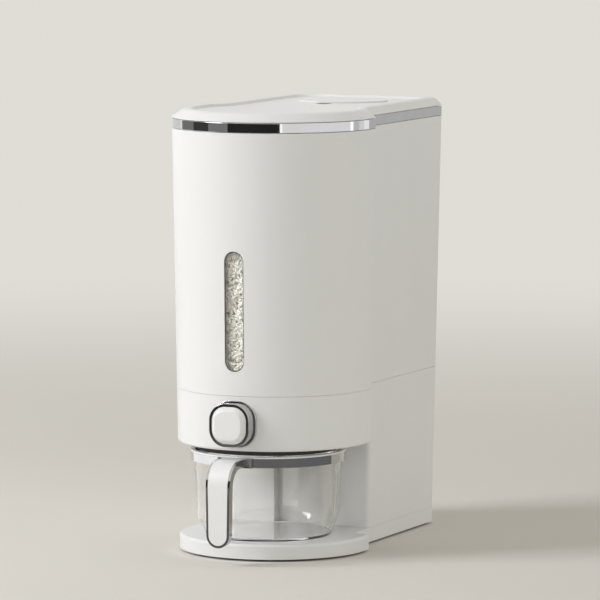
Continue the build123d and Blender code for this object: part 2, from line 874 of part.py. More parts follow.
def lid_gasket():
    """Soft seal round the liner."""
    high = lid_level - gasket_drop
    inner = rim_inset + slip_gap + gasket_width
    return ring(plan, high - gasket_height, high, rim_inset + slip_gap, inner)


# Hatch, its pin, and the desiccant under it
def hatch():
    """Tongue-shaped flap over the desiccant, with a barrel at its rear end."""
    low = dish_level - hatch_thickness
    solid = hatch_plate(0, low, dish_level)
    raised = hatch_plate(0, dish_level, dish_level + hatch_rise)
    solid += raised & block(hatch_half_width, hatch_tip(), hatch_axis_reach - hatch_rise_setback,
                            dish_level, dish_level + hatch_rise)
    solid -= block(notch_width / 2, hatch_tip(), hatch_tip() + notch_undercut, low, dish_level)
    barrel = rod_x(hatch_thickness / 2, 2 * hatch_half_width, plan_y + hatch_axis_reach, hatch_axis_level)
    bore = rod_x(hatch_pin_radius + pin_gap, rear_width, plan_y + hatch_axis_reach, hatch_axis_level)
    return solid + barrel - bore


def hatch_pin():
    """Wire pin of the hatch, with its ends in the lid."""
    length = 2 * (hatch_half_width + hatch_gap + hatch_pin_overlap) - seat_gap
    return rod_x(hatch_pin_radius, length, plan_y + hatch_axis_reach, hatch_axis_level)


def desiccant_tray():
    """Vented tray that hangs under the lid."""
    front = desiccant_front()
    back = front + desiccant_length
    low = lid_level - desiccant_depth
    flange_low = lid_level - desiccant_flange_thickness
    solid = block(desiccant_half_width, front, back, low, lid_level)
    solid += block(desiccant_half_width + desiccant_flange_width, front - desiccant_flange_width,
                   back + desiccant_flange_width, flange_low, lid_level)
    solid -= block(desiccant_half_width - desiccant_wall, front + desiccant_wall, back - desiccant_wall,
                   low + desiccant_wall, lid_level + overrun)
    span = desiccant_length - 2 * desiccant_vent_margin
    step = span / (desiccant_vent_count - 1)
    half = desiccant_half_width - desiccant_vent_margin
    for index in range(desiccant_vent_count):
        middle = front + desiccant_vent_margin + step * index
        solid -= block(half, middle - desiccant_vent_width / 2, middle + desiccant_vent_width / 2,
                       low - overrun, low + desiccant_wall + seat_gap)
    return solid


def desiccant_cartridge():
    """Cartridge with breathing holes in its top, loose in the tray."""
    inner = desiccant_wall + slip_gap
    low = lid_level - desiccant_depth + inner
    high = low + cartridge_height
    half = desiccant_half_width - inner
    front = desiccant_front() + inner
    length = desiccant_length - 2 * inner
    solid = block(half, front, front + length, low, high)
    solid = fillet(solid.edges().filter_by(Axis.Z), cartridge_edge_radius)
    x_step = 2 * half / (cartridge_columns + 1)
    y_step = length / (cartridge_rows + 1)
    for column in range(cartridge_columns):
        for row in range(cartridge_rows):
            x = x_step * (column + 1) - half
            y = plan_y + front + y_step * (row + 1)
            solid -= post(cartridge_hole_radius, x, y, high - desiccant_wall, high + overrun)
    return solid


# Cup with its collar ring and handle
def cup_bottom_level():
    """Underside of the cup, just clear of the tray."""
    return tray_height + slip_gap


def side_face(points):
    """Upright face through points given as distances from the cup's axis and levels."""
    return make_face(Polyline(*[(x, 0, level_z(level)) for x, level in points], close=True))


def rounded_at(face, level, radius):
    """Face with its outer corners at a level rounded."""
    corners = [v for v in face.vertices() if abs(v.Z - level_z(level)) < pick_tolerance]
    return fillet([v for v in corners if v.X > pick_tolerance], radius)


def turned(face):
    """Solid of revolution about the cup's axis."""
    return Pos(0, plan_y + cup_reach, 0) * revolve(face, axis=Axis.Z)


def cup_slope():
    """Lean of the cup's side, outwards per height."""
    rise = cup_rim_level - cup_bottom_level()
    return (cup_rim_radius - collar_ring_thickness - cup_base_radius) / rise


def cup_bowl():
    """Clear bowl of the cup."""
    low = cup_bottom_level()
    high = cup_rim_level - collar_ring_cap
    floor_level = low + cup_floor
    belly_level = low + cup_belly_height
    belly_radius = cup_base_radius + cup_slope() * cup_belly_height
    top_radius = cup_base_radius + cup_slope() * (high - low)
    foot_slope = (belly_radius - cup_foot_radius) / cup_belly_height
    face = side_face([
        (0, low),
        (cup_foot_radius, low),
        (belly_radius, belly_level),
        (top_radius, high),
        (top_radius - cup_wall, high),
        (belly_radius - cup_wall, belly_level),
        (cup_foot_radius + foot_slope * cup_floor - cup_wall, floor_level),
        (0, floor_level),
    ])
    for level in (low, floor_level):
        face = rounded_at(face, level, cup_foot_round)
    return turned(rounded_at(face, belly_level, cup_belly_round))


def bowl_radius(level):
    """Outer radius of the bowl's side at a level."""
    return cup_base_radius + cup_slope() * (level - cup_bottom_level())


def ring_radius(level):
    """Outer radius of the ring at a level."""
    return cup_rim_radius - cup_slope() * (cup_rim_level - level)


def cup_collar():
    """Ring under the rim of the bowl that the handle is fixed to."""
    low = cup_rim_level - collar_ring_height
    high = cup_rim_level - collar_ring_cap - seat_gap
    return turned(side_face([
        (bowl_radius(low) + seat_gap, low),
        (ring_radius(low), low),
        (ring_radius(high), high),
        (bowl_radius(high) + seat_gap, high),
    ]))


def cup_rim():
    """Pale lip over the bowl's edge and the ring."""
    low = cup_rim_level - collar_ring_cap
    inner = bowl_radius(low) - cup_wall
    face = side_face([
        (inner, low),
        (ring_radius(low), low),
        (cup_rim_radius, cup_rim_level),
        (inner, cup_rim_level),
    ])
    return turned(rounded_at(face, cup_rim_level, cup_rim_round))


def spill_skirt():
    """Dark skirt under the overhang that keeps grains over the cup."""
    high = housing_floor_level - seat_gap
    flange_low = high - skirt_flange_thickness
    low = cup_rim_level + skirt_clearance
    inner = skirt_radius - skirt_wall
    flange_inner = skirt_radius - skirt_flange_width
    return turned(side_face([
        (inner, low),
        (skirt_radius, low),
        (skirt_radius, high),
        (flange_inner, high),
        (flange_inner, flange_low),
        (inner, flange_low),
    ]))


def handle_path(inset):
    """Outer line of the handle seen from the side, set in by an inset."""
    front = plan_y - handle_reach + inset
    top = level_z(cup_rim_level - handle_arm_drop) - inset
    radius = handle_bend_radius - inset
    return front, top, radius


def handle_side(outer, inner, root, low):
    """Side view of a strap between two insets, from a root to its foot."""
    front, top, radius = handle_path(outer)
    back, under, bend = handle_path(inner)
    diagonal = cos(pi / 4)
    edges = [
        Line((root, top), (front + radius, top)),
        ThreePointArc((front + radius, top), (front + radius - radius * diagonal,
                      top - radius + radius * diagonal), (front, top - radius)),
        Line((front, top - radius), (front, low)),
        Line((front, low), (back, low)),
        Line((back, low), (back, under - bend)),
        ThreePointArc((back, under - bend), (back + bend - bend * diagonal,
                      under - bend + bend * diagonal), (back + bend, under)),
        Line((back + bend, under), (root, under)),
        Line((root, under), (root, top)),
    ]
    return Plane.YZ * make_face(edges)


def handle_front(border, low):
    """Front view of the strap inside a border, narrowing to its round tip."""
    high = level_z(cup_rim_level + overrun)
    half = handle_half_width - border
    tip = handle_tip_half_width - border
    strip = make_face(Polyline((-half, high), (half, high), (tip, low + tip), (-tip, low + tip), close=True))
    return strip + Pos(0, low + tip) * Circle(tip)


def handle_strap(outer, inner, border):
    """Strap of the handle between two insets and inside a border, from the cup's ring to its tip."""
    root = plan_y + cup_reach - cup_rim_radius + handle_root_overlap
    low = level_z(handle_tip_level) + border
    side = extrude(handle_side(outer, inner, root, low), amount=handle_half_width, both=True)
    return side & upright(handle_front(border, low), outside_front, cup_reach)


def handle_core():
    """Room of the cup's ring, cut from the root of the strap."""
    axis_y = plan_y + cup_reach
    return post(cup_rim_radius + seat_gap, 0, axis_y, handle_tip_level, cup_rim_level + overrun)


def handle_pad():
    """Pad at the root of the strap, round the front of the cup's ring."""
    axis_y = plan_y + cup_reach
    low = cup_rim_level - collar_ring_height
    high = cup_rim_level - handle_arm_drop - insert_proud
    pad = post(cup_rim_radius + seat_gap + handle_pad_thickness, 0, axis_y, low, high)
    return pad & block(handle_pad_half_width, outside_front, cup_reach, low, high)


def cup_handle():
    """Bright strap of the handle, hollowed for the white insert."""
    strap = handle_strap(insert_proud, handle_thickness, 0) + handle_pad()
    pocket = handle_strap(-overrun, insert_depth + insert_proud, insert_border)
    return strap - pocket - handle_core()


def handle_insert():
    """White inlay along the outer face of the handle."""
    inner = insert_depth + insert_proud - seat_gap
    return handle_strap(0, inner, insert_border + seat_gap) - handle_core()


os.makedirs("parts", exist_ok=True)
save("base_tray", base_tray())
save("base_cover", base_cover())
save("base_screws", *base_screws())
save("rubber_feet", *feet())
save("lower_housing", lower_housing())
save("upper_shell", upper_shell())
save("chrome_band", chrome_band())
save("lid_hinge_pins", *hinge_pins())
save("window_pane", window_pane())
save("window_gasket", window_gasket())
save("hopper", hopper())
save("outlet_seal", outlet_seal())
save("shutter_plate", shutter_plate())
save("outlet_chute", outlet_chute())
save("button_collar", button_collar())
save("button_sleeve", button_sleeve())
save("button_cap", button_cap())
save("push_stem", push_stem())
save("stem_bracket", stem_bracket())
save("bracket_screws", *bracket_screws())
save("return_spring", return_spring())
save("lid", lid())
save("lid_liner", lid_liner())
save("lid_gasket", lid_gasket())
save("hatch", hatch())
save("hatch_pin", hatch_pin())
save("desiccant_tray", desiccant_tray())
save("desiccant_cartridge", desiccant_cartridge())
save("cup_bowl", cup_bowl())
save("cup_collar", cup_collar())
save("cup_rim", cup_rim())
save("spill_skirt", spill_skirt())
save("cup_handle", cup_handle())
save("handle_insert", handle_insert())
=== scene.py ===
"""Looks of a countertop rice dispenser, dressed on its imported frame."""

import logging
import math
import random
from dataclasses import dataclass, field
from enum import Enum

import bpy
from mathutils import Matrix, Vector


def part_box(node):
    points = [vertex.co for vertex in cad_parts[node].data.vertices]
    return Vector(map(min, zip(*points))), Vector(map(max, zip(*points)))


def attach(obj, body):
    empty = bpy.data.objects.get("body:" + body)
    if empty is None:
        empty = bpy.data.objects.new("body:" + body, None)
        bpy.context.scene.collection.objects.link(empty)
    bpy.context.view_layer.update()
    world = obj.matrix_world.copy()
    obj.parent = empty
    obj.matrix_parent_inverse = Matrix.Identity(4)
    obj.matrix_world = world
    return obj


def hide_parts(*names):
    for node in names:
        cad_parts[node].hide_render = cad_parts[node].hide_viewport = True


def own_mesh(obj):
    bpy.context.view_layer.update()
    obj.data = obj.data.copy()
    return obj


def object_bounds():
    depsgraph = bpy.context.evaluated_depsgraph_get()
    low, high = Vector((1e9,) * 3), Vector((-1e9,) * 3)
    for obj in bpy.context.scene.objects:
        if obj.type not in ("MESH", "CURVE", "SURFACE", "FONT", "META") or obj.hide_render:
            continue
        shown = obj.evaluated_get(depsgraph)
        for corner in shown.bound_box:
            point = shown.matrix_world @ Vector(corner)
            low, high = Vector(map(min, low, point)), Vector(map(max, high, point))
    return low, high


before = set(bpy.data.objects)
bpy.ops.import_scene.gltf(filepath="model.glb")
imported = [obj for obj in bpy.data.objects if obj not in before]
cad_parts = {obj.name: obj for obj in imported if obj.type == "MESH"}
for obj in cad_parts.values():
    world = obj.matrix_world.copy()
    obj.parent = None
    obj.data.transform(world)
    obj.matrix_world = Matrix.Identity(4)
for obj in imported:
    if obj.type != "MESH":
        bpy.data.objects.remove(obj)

CAD_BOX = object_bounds()
MM = 0.001
NOISE_LOW = 0.3
NOISE_HIGH = 0.7
CARD_LIFT = 1 * MM
Colour = tuple[float, float, float]
Point = tuple[float, float, float]
Stretch = tuple[float, float, float]
log = logging.getLogger("rice_dispenser")


class Ray(Enum):
    """Kinds of ray that a light path can tell apart."""

    CAMERA = "Is Camera Ray"
    GLOSSY = "Is Glossy Ray"
    TRANSMISSION = "Is Transmission Ray"
    SHADOW = "Is Shadow Ray"


class Body(Enum):
    """Rigid bodies of the frame that new pieces ride on."""

    HOUSING = "housing"


class NodeBoard:
    """Node tree of one material, with short calls that add and join its nodes."""

    def __init__(self, name: str) -> None:
        """Start a material with a principled shader and object coordinates.

        Args:
            name: Name of the material.
        """
        self.material = bpy.data.materials.new(name)
        self.material.use_nodes = True
        self.tree = self.material.node_tree
        self.shader = self.tree.nodes["Principled BSDF"]
        self.place = self.add("ShaderNodeTexCoord").outputs["Object"]

    def add(self, kind: str, **settings: object) -> bpy.types.Node:
        """Add one node and set its properties.

        Args:
            kind: Blender's name of the node type.
            settings: Properties of the node by name.

        Returns:
            The new node.
        """
        node = self.tree.nodes.new(kind)
        for key, value in settings.items():
            setattr(node, key, value)
        return node

    def join(self, out: bpy.types.NodeSocket, into: bpy.types.NodeSocket) -> None:
        """Link an output to an input."""
        self.tree.links.new(out, into)

    def plain(self, **values: object) -> None:
        """Set sockets of the shader that are the same all over, with _ for a space in their names."""
        for key, value in values.items():
            self.shader.inputs[key.replace("_", " ")].default_value = value

    def noise(self, size: float, detail: float = 3.0, stretch: Stretch = (1, 1, 1)) -> bpy.types.NodeSocket:
        """Add a noise pattern in object space.

        Args:
            size: Length of one cell of the pattern, in metres.
            detail: Octaves of the noise.
            stretch: How much finer the pattern is along each axis.

        Returns:
            The factor output of the noise.
        """
        mapping = self.add("ShaderNodeMapping")
        mapping.inputs["Scale"].default_value = [share / size for share in stretch]
        self.join(self.place, mapping.inputs["Vector"])
        texture = self.add("ShaderNodeTexNoise")
        texture.inputs["Scale"].default_value = 1.0
        texture.inputs["Detail"].default_value = detail
        self.join(mapping.outputs["Vector"], texture.inputs["Vector"])
        return texture.outputs["Fac"]

    def cells(self, size: float) -> bpy.types.Node:
        """Add a cellular pattern in object space with cells of a size in metres."""
        texture = self.add("ShaderNodeTexVoronoi")
        texture.inputs["Scale"].default_value = 1 / size
        self.join(self.place, texture.inputs["Vector"])
        return texture

    def spread(self, value: bpy.types.NodeSocket, low: float, high: float) -> bpy.types.NodeSocket:
        """Map the middle of a noise to a range.

        Args:
            value: Output of a noise.
            low: Result at the low end.
            high: Result at the high end.

        Returns:
            The mapped value.
        """
        node = self.add("ShaderNodeMapRange")
        ends = {"From Min": NOISE_LOW, "From Max": NOISE_HIGH, "To Min": low, "To Max": high}
        for key, number in ends.items():
            node.inputs[key].default_value = number
        self.join(value, node.inputs["Value"])
        return node.outputs["Result"]

    def tones(self, value: bpy.types.NodeSocket, colours: list[Colour]) -> bpy.types.NodeSocket:
        """Map a noise to colours in even steps.

        Args:
            value: Output of a noise.
            colours: Colours from the low end of the noise to its high end.

        Returns:
            The colour output.
        """
        ramp = self.add("ShaderNodeValToRGB")
        stops = ramp.color_ramp.elements
        while len(stops) < len(colours):
            stops.new(NOISE_LOW)
        step = (NOISE_HIGH - NOISE_LOW) / (len(colours) - 1)
        for index, colour in enumerate(colours):
            stops[index].position = NOISE_LOW + step * index
            stops[index].color = (*colour, 1)
        self.join(value, ramp.inputs["Fac"])
        return ramp.outputs["Color"]

    def bump(self, value: bpy.types.NodeSocket, depth: float, strength: float) -> None:
        """Drive the shader's normal from a height, on top of any bump that is there already.

        Args:
            value: Height from 0 to 1.
            depth: Height of the relief, in metres.
            strength: Share of the relief that shows.
        """
        node = self.add("ShaderNodeBump")
        node.inputs["Distance"].default_value = depth
        node.inputs["Strength"].default_value = strength
        earlier = self.shader.inputs["Normal"].links
        if earlier:
            self.join(earlier[0].from_socket, node.inputs["Normal"])
        self.join(value, node.inputs["Height"])
        self.join(node.outputs["Normal"], self.shader.inputs["Normal"])


@dataclass(frozen=True)
class MouldedPlastic:
    """Opaque moulded plastic with a fine spark-eroded grain and faint flow in its colour."""

    name: str
    colour: Colour
    shade: Colour
    roughness: tuple[float, float]
    grain_size: float = 0.7 * MM
    grain_depth: float = 0.03 * MM
    grain_strength: float = 0.5
    flow_size: float = 60 * MM
    flow_stretch: Stretch = (1, 1, 0.4)
    handled_share: float = 0.25
    coat: float = 0.0
    coat_roughness: float = 0.12
    bend: float = 1.5

    def make(self) -> bpy.types.Material:
        """Return the material."""
        board = NodeBoard(self.name)
        flow = board.noise(self.flow_size, stretch=self.flow_stretch)
        board.join(board.tones(flow, [self.shade, self.colour]), board.shader.inputs["Base Color"])
        handled = board.noise(self.flow_size * self.handled_share, detail=6)
        board.join(board.spread(handled, *self.roughness), board.shader.inputs["Roughness"])
        board.bump(board.noise(self.grain_size, detail=2), self.grain_depth, self.grain_strength)
        board.plain(Coat_Weight=self.coat, Coat_Roughness=self.coat_roughness, IOR=self.bend)
        return board.material


@dataclass(frozen=True)
class BrightMetal:
    """Polished or brushed metal with a little haze."""

    name: str
    colour: Colour
    roughness: tuple[float, float]
    haze_size: float = 18 * MM
    brush_stretch: Stretch = (1, 1, 1)
    haze_share: float = 0.94

    def make(self) -> bpy.types.Material:
        """Return the material."""
        board = NodeBoard(self.name)
        haze = board.noise(self.haze_size, detail=5, stretch=self.brush_stretch)
        board.join(board.spread(haze, *self.roughness), board.shader.inputs["Roughness"])
        darker = tuple(self.haze_share * part for part in self.colour)
        board.join(board.tones(haze, [darker, self.colour]), board.shader.inputs["Base Color"])
        board.plain(Metallic=1.0)
        return board.material


@dataclass(frozen=True)
class ClearPlastic:
    """Clear moulded plastic with faint wipe marks."""

    name: str
    colour: Colour
    tint: Colour
    roughness: tuple[float, float]
    mark_size: float = 25 * MM
    mark_stretch: Stretch = (1, 1, 2.5)
    bend: float = 1.47

    def make(self) -> bpy.types.Material:
        """Return the material."""
        board = NodeBoard(self.name)
        marks = board.noise(self.mark_size, detail=6, stretch=self.mark_stretch)
        board.join(board.spread(marks, *self.roughness), board.shader.inputs["Roughness"])
        board.join(board.tones(marks, [self.tint, self.colour]), board.shader.inputs["Base Color"])
        board.plain(Transmission_Weight=1.0, IOR=self.bend)
        self.let_lamps_through(board)
        return board.material

    def let_lamps_through(self, board: NodeBoard) -> None:
        """Let the lamps shine through the wall, as they do through thin clear plastic.

        Args:
            board: Nodes of the material.
        """
        clear = board.add("ShaderNodeBsdfTransparent")
        clear.inputs["Color"].default_value = (*self.tint, 1)
        mix = board.add("ShaderNodeMixShader")
        board.join(board.add("ShaderNodeLightPath").outputs[Ray.SHADOW.value], mix.inputs[0])
        board.join(board.shader.outputs["BSDF"], mix.inputs[1])
        board.join(clear.outputs["BSDF"], mix.inputs[2])
        board.join(mix.outputs["Shader"], board.tree.nodes["Material Output"].inputs["Surface"])


@dataclass(frozen=True)
class SoftRubber:
    """Matt rubber or silicone with a powdery surface."""

    name: str
    colour: Colour
    shade: Colour
    roughness: tuple[float, float] = (0.62, 0.82)
    dust_size: float = 7.2 * MM
    grain_size: float = 0.9 * MM
    grain_depth: float = 0.08 * MM
    grain_strength: float = 0.6

    def make(self) -> bpy.types.Material:
        """Return the material."""
        board = NodeBoard(self.name)
        dust = board.noise(self.dust_size, detail=5)
        board.join(board.tones(dust, [self.shade, self.colour]), board.shader.inputs["Base Color"])
        board.join(board.spread(dust, *self.roughness), board.shader.inputs["Roughness"])
        board.bump(board.noise(self.grain_size, detail=3), self.grain_depth, self.grain_strength)
        return board.material


@dataclass(frozen=True)
class RiceGrains:
    """Polished rice: each grain a little different in tone, with a chalky heart."""

    name: str
    colours: tuple[Colour, ...]
    roughness: tuple[float, float] = (0.3, 0.5)
    grain_size: float = 3.2 * MM
    chalk_size: float = 0.64 * MM
    chalk_depth: float = 0.06 * MM
    chalk_strength: float = 0.5
    bend: float = 1.45

    def make(self) -> bpy.types.Material:
        """Return the material."""
        board = NodeBoard(self.name)
        tone = board.noise(self.grain_size, detail=2)
        board.join(board.tones(tone, list(self.colours)), board.shader.inputs["Base Color"])
        board.join(board.spread(tone, *self.roughness), board.shader.inputs["Roughness"])
        board.bump(board.noise(self.chalk_size, detail=2), self.chalk_depth, self.chalk_strength)
        board.plain(IOR=self.bend)
        return board.material


@dataclass(frozen=True)
class HeapedRice:
    """Rice seen as a mass: oval cells with dark gaps between them."""

    name: str
    colours: tuple[Colour, ...]
    grain_size: float = 4.2 * MM
    gap_depth: float = 1.2 * MM
    gap_strength: float = 0.9
    roughness: float = 0.5

    def make(self) -> bpy.types.Material:
        """Return the material."""
        board = NodeBoard(self.name)
        cells = board.cells(self.grain_size)
        board.join(board.tones(board.noise(self.grain_size), list(self.colours)),
                   board.shader.inputs["Base Color"])
        board.bump(cells.outputs["Distance"], -self.gap_depth, self.gap_strength)
        board.plain(Roughness=self.roughness)
        return board.material


class Finish(Enum):
    """Finishes of the dispenser and its contents."""

    WHITE_SHELL = MouldedPlastic("satin_white_shell", (0.86, 0.86, 0.85), (0.84, 0.84, 0.83), (0.3, 0.4))
    WHITE_LID = MouldedPlastic("satin_white_lid", (0.88, 0.88, 0.87), (0.86, 0.86, 0.85), (0.28, 0.38))
    WHITE_BUTTON = MouldedPlastic("gloss_white_button", (0.88, 0.88, 0.87), (0.87, 0.87, 0.86),
                                  (0.18, 0.26), coat=0.3)
    GREY_PLASTIC = MouldedPlastic("plain_grey_plastic", (0.4, 0.4, 0.39), (0.36, 0.36, 0.35), (0.45, 0.6))
    HOPPER_PLASTIC = MouldedPlastic("hopper_plastic", (0.74, 0.74, 0.72), (0.71, 0.71, 0.69), (0.38, 0.5))
    CARTRIDGE_PLASTIC = MouldedPlastic("cartridge_plastic", (0.66, 0.71, 0.73), (0.62, 0.67, 0.69),
                                       (0.4, 0.55))
    CHROME = BrightMetal("bright_plating", (0.75, 0.75, 0.75), (0.03, 0.06))
    # This darker plating is partly painted shade: its low reflectance stands in for the shaded surroundings
    # that the button's sleeve and the handle's edges reflect.
    SMOKED_CHROME = BrightMetal("dark_plating_and_painted_shade", (0.56, 0.555, 0.55), (0.06, 0.1))
    SATIN_CHROME = BrightMetal("satin_plating", (0.72, 0.715, 0.71), (0.24, 0.32))
    STEEL = BrightMetal("plain_steel", (0.5, 0.5, 0.51), (0.28, 0.42), 4 * MM, (1, 1, 6))
    CLEAR_WINDOW = ClearPlastic("clear_window", (0.99, 0.99, 0.98), (0.98, 0.98, 0.965), (0.01, 0.05))
    CLEAR_CUP = ClearPlastic("clear_cup", (0.995, 0.99, 0.98), (0.985, 0.978, 0.965), (0.0, 0.03))
    DARK_SEAL = SoftRubber("dark_seal", (0.05, 0.05, 0.05), (0.035, 0.035, 0.035))
    SOFT_SEAL = SoftRubber("pale_seal", (0.6, 0.6, 0.58), (0.54, 0.54, 0.52))
    RUBBER = SoftRubber("foot_rubber", (0.03, 0.03, 0.03), (0.022, 0.022, 0.022))
    RICE = RiceGrains("polished_rice", ((0.9, 0.85, 0.7), (0.98, 0.965, 0.9), (0.99, 0.985, 0.95)))
    HEAP = HeapedRice("heaped_rice", ((0.7, 0.64, 0.5), (0.9, 0.87, 0.78), (0.94, 0.925, 0.86)))


class FinishRack:
    """Materials made so far, so that each finish is mixed once."""

    def __init__(self) -> None:
        """Start with an empty rack."""
        self.made: dict[Finish, bpy.types.Material] = {}

    def get(self, finish: Finish) -> bpy.types.Material:
        """Return the material of a finish, mixing it on first use."""
        if finish not in self.made:
            self.made[finish] = finish.value.make()
        return self.made[finish]

    def coat(self, obj: bpy.types.Object, finish: Finish) -> None:
        """Give an object one finish all over."""
        obj.data.materials.clear()
        obj.data.materials.append(self.get(finish))


class Bench:
    """Work bench for hand modelling: selections, modifiers and finished pieces."""

    @staticmethod
    def clear() -> None:
        """Deselect every object."""
        if bpy.context.object and bpy.context.object.mode != "OBJECT":
            bpy.ops.object.mode_set(mode="OBJECT")
        bpy.ops.object.select_all(action="DESELECT")

    @staticmethod
    def pick(*objs: bpy.types.Object) -> None:
        """Select these objects alone and make the first one active."""
        Bench.clear()
        for obj in objs:
            obj.select_set(True)
        bpy.context.view_layer.objects.active = objs[0]

    @staticmethod
    def settle(obj: bpy.types.Object) -> None:
        """Put an object's place into its mesh."""
        Bench.pick(obj)
        bpy.ops.object.transform_apply(location=True, rotation=True, scale=True)

    @staticmethod
    def modify(obj: bpy.types.Object, kind: str, **settings: object) -> None:
        """Add a modifier and apply it.

        Args:
            obj: Object to change.
            kind: Blender's name of the modifier type.
            settings: Properties of the modifier by name.
        """
        modifier = obj.modifiers.new(kind.lower(), kind)
        for key, value in settings.items():
            setattr(modifier, key, value)
        Bench.pick(obj)
        bpy.ops.object.modifier_apply(modifier=modifier.name)

    @staticmethod
    def cut(obj: bpy.types.Object, point: Vector, normal: Vector) -> None:
        """Cut off and cap what lies on the near side of a plane.

        Args:
            obj: Closed mesh to cut.
            point: Point on the plane.
            normal: Direction of the side that stays.
        """
        Bench.pick(obj)
        bpy.ops.object.mode_set(mode="EDIT")
        bpy.ops.mesh.select_all(action="SELECT")
        bpy.ops.mesh.bisect(plane_co=point, plane_no=normal, use_fill=True, clear_inner=True)
        bpy.ops.object.mode_set(mode="OBJECT")

    @staticmethod
    def keep(obj: bpy.types.Object, name: str, body: Body) -> bpy.types.Object:
        """Name a finished piece and let it ride on a body.

        Args:
            obj: Finished mesh, with its place in its mesh.
            name: Name of the piece.
            body: Body that carries it.

        Returns:
            The piece.
        """
        obj.name = name
        obj.data.name = name
        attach(obj, body.value)
        log.info("piece %s: %d faces on %s", name, len(obj.data.polygons), body.value)
        return obj


@dataclass
class NodeDress:
    """Frame nodes of one sub-assembly and the finish that each one wears."""

    name: str
    wear: dict[str, Finish]

    def dress(self, rack: FinishRack) -> None:
        """Coat each node.

        Args:
            rack: Materials to take from.
        """
        for node, finish in self.wear.items():
            rack.coat(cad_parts[node], finish)
            log.info("%s: %s in %s", self.name, node, finish.value.name)


def dresses() -> list[NodeDress]:
    """Return the dress of every sub-assembly of the frame."""
    return [
        NodeDress("base", {
            "base_tray": Finish.WHITE_SHELL,
            "base_cover": Finish.GREY_PLASTIC,
            "base_screws": Finish.STEEL,
            "rubber_feet": Finish.RUBBER,
        }),
        NodeDress("housing", {
            "lower_housing": Finish.WHITE_SHELL,
            "upper_shell": Finish.WHITE_SHELL,
            "chrome_band": Finish.CHROME,
            "lid_hinge_pins": Finish.STEEL,
            "window_pane": Finish.CLEAR_WINDOW,
            "window_gasket": Finish.DARK_SEAL,
        }),
        NodeDress("outlet", {
            "hopper": Finish.HOPPER_PLASTIC,
            "outlet_seal": Finish.SOFT_SEAL,
            "outlet_chute": Finish.HOPPER_PLASTIC,
            "shutter_plate": Finish.GREY_PLASTIC,
            "stem_bracket": Finish.GREY_PLASTIC,
            "bracket_screws": Finish.STEEL,
            "spill_skirt": Finish.DARK_SEAL,
        }),
        NodeDress("button", {
            "button_collar": Finish.SATIN_CHROME,
            # The sleeve's darker plating partly paints in the shade it reflects.
            "button_sleeve": Finish.SMOKED_CHROME,
            "button_cap": Finish.WHITE_BUTTON,
            "push_stem": Finish.GREY_PLASTIC,
        }),
        NodeDress("lid", {
            "lid": Finish.WHITE_LID,
            "lid_liner": Finish.HOPPER_PLASTIC,
            "lid_gasket": Finish.SOFT_SEAL,
            "hatch": Finish.WHITE_LID,
            "hatch_pin": Finish.STEEL,
            "desiccant_tray": Finish.HOPPER_PLASTIC,
            "desiccant_cartridge": Finish.CARTRIDGE_PLASTIC,
        }),
        NodeDress("cup", {
            "cup_bowl": Finish.CLEAR_CUP,
            "cup_collar": Finish.CHROME,
            # The white rim ring is partly a painted highlight: its white stands in for the bright line where
            # the cup's rim catches the light.
            "cup_rim": Finish.WHITE_LID,
            # The handle's darker plating partly paints in the dark reflections along its edges.
            "cup_handle": Finish.SMOKED_CHROME,
            "handle_insert": Finish.WHITE_LID,
        }),
    ]


@dataclass
class ReturnSpring:
    """Coil behind the button."""

    node: str = "return_spring"
    travel: float = 10 * MM
    merge_gap: float = 0.001 * MM

    def build(self, rack: FinishRack) -> None:
        """Let a merged copy of the frame's coil stand for it, riding on the housing.

        Args:
            rack: Materials to take from.
        """
        coil = bpy.data.objects.new("coil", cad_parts[self.node].data.copy())
        bpy.context.collection.objects.link(coil)
        Bench.pick(coil)
        bpy.ops.object.mode_set(mode="EDIT")
        bpy.ops.mesh.select_all(action="SELECT")
        bpy.ops.mesh.remove_doubles(threshold=self.merge_gap)
        bpy.ops.object.mode_set(mode="OBJECT")
        bpy.ops.object.shade_smooth()
        rack.coat(coil, Finish.STEEL)
        Bench.keep(coil, "coil_spring", Body.HOUSING)
        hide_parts(self.node)
        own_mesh(coil)


